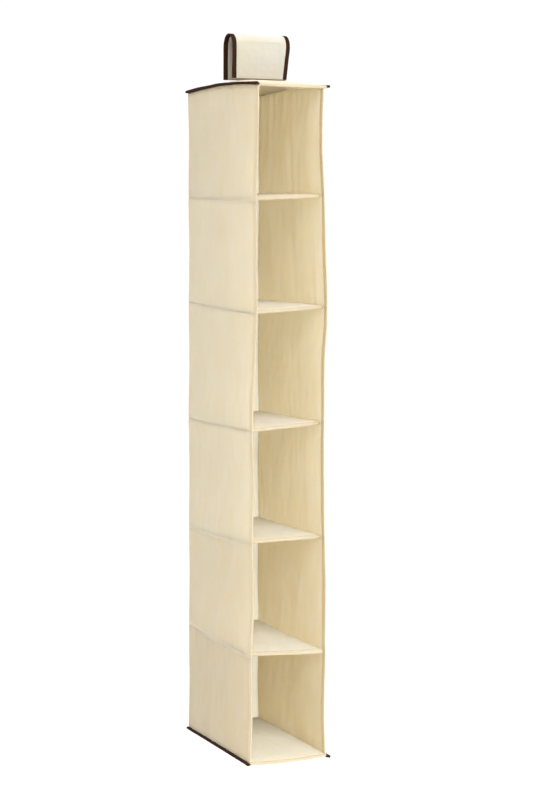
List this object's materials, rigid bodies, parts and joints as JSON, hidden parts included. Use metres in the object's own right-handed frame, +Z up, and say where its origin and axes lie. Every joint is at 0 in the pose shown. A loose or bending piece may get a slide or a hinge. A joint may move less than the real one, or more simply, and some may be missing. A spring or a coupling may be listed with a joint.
{
  "type": "shoe organizer",
  "caption": "Hanging cloth shoe organizer: a tall open-fronted tower of covered shelves that hangs from a closet rod by a hook-and-loop strap and folds flat upwards.",
  "frame": {"origin": "centre of the closet rod that the strap goes round", "axes": "+Z up, +X along the closet rod, to the right as seen from the open front; the open front faces -Y"},
  "size_m": [0.182, 0.309, 1.4511],
  "materials": {
    "cotton_cloth": "plain woven, matte",
    "brown_binding": "folded tape, matte",
    "stiff_board": "pressed fibre board, matte",
    "hook_and_loop": "napped"
  },
  "bodies": {
    "top": {"top_upper_cloth": "cotton_cloth", "top_board": "stiff_board", "top_lower_cloth": "cotton_cloth", "top_binding_left": "brown_binding", "top_binding_right": "brown_binding", "strap_back": "cotton_cloth", "strap_back_edge_left": "brown_binding", "strap_back_edge_right": "brown_binding", "strap_tab": "cotton_cloth", "loop_strip": "hook_and_loop", "wall_1_left": "cotton_cloth", "wall_1_right": "cotton_cloth", "wall_1_back": "cotton_cloth"},
    "tier_1": {"shelf_1_sleeve": "cotton_cloth", "shelf_1_board": "stiff_board", "wall_2_left": "cotton_cloth", "wall_2_right": "cotton_cloth", "wall_2_back": "cotton_cloth"},
    "tier_2": {"shelf_2_sleeve": "cotton_cloth", "shelf_2_board": "stiff_board", "wall_3_left": "cotton_cloth", "wall_3_right": "cotton_cloth", "wall_3_back": "cotton_cloth"},
    "tier_3": {"shelf_3_sleeve": "cotton_cloth", "shelf_3_board": "stiff_board", "wall_4_left": "cotton_cloth", "wall_4_right": "cotton_cloth", "wall_4_back": "cotton_cloth"},
    "tier_4": {"shelf_4_sleeve": "cotton_cloth", "shelf_4_board": "stiff_board", "wall_5_left": "cotton_cloth", "wall_5_right": "cotton_cloth", "wall_5_back": "cotton_cloth"},
    "tier_5": {"shelf_5_sleeve": "cotton_cloth", "shelf_5_board": "stiff_board", "wall_6_left": "cotton_cloth", "wall_6_right": "cotton_cloth", "wall_6_back": "cotton_cloth"},
    "floor_panel": {"floor_upper_cloth": "cotton_cloth", "floor_board": "stiff_board", "floor_lower_cloth": "cotton_cloth", "floor_binding_left": "brown_binding", "floor_binding_right": "brown_binding"},
    "flap": {"strap_flap": "cotton_cloth", "strap_flap_edge_left": "brown_binding", "strap_flap_edge_right": "brown_binding", "hook_strip": "hook_and_loop"}
  },
  "joints": [
    {"name": "fold_1", "type": "slide", "parent": "top", "child": "tier_1", "axis": [0, 0, 1], "range_m": [0, 0.2], "deforming": ["wall_1_left", "wall_1_right", "wall_1_back"]},
    {"name": "fold_2", "type": "slide", "parent": "tier_1", "child": "tier_2", "axis": [0, 0, 1], "range_m": [0, 0.2], "deforming": ["wall_2_left", "wall_2_right", "wall_2_back"]},
    {"name": "fold_3", "type": "slide", "parent": "tier_2", "child": "tier_3", "axis": [0, 0, 1], "range_m": [0, 0.2], "deforming": ["wall_3_left", "wall_3_right", "wall_3_back"]},
    {"name": "fold_4", "type": "slide", "parent": "tier_3", "child": "tier_4", "axis": [0, 0, 1], "range_m": [0, 0.2], "deforming": ["wall_4_left", "wall_4_right", "wall_4_back"]},
    {"name": "fold_5", "type": "slide", "parent": "tier_4", "child": "tier_5", "axis": [0, 0, 1], "range_m": [0, 0.2], "deforming": ["wall_5_left", "wall_5_right", "wall_5_back"]},
    {"name": "fold_6", "type": "slide", "parent": "tier_5", "child": "floor_panel", "axis": [0, 0, 1], "range_m": [0, 0.2], "deforming": ["wall_6_left", "wall_6_right", "wall_6_back"]},
    {"name": "strap_peel", "type": "hinge", "parent": "top", "child": "flap", "pos_m": [0, 0, 0.0211], "axis": [-1, 0, 0], "range_deg": [0, 150]}
  ]
}
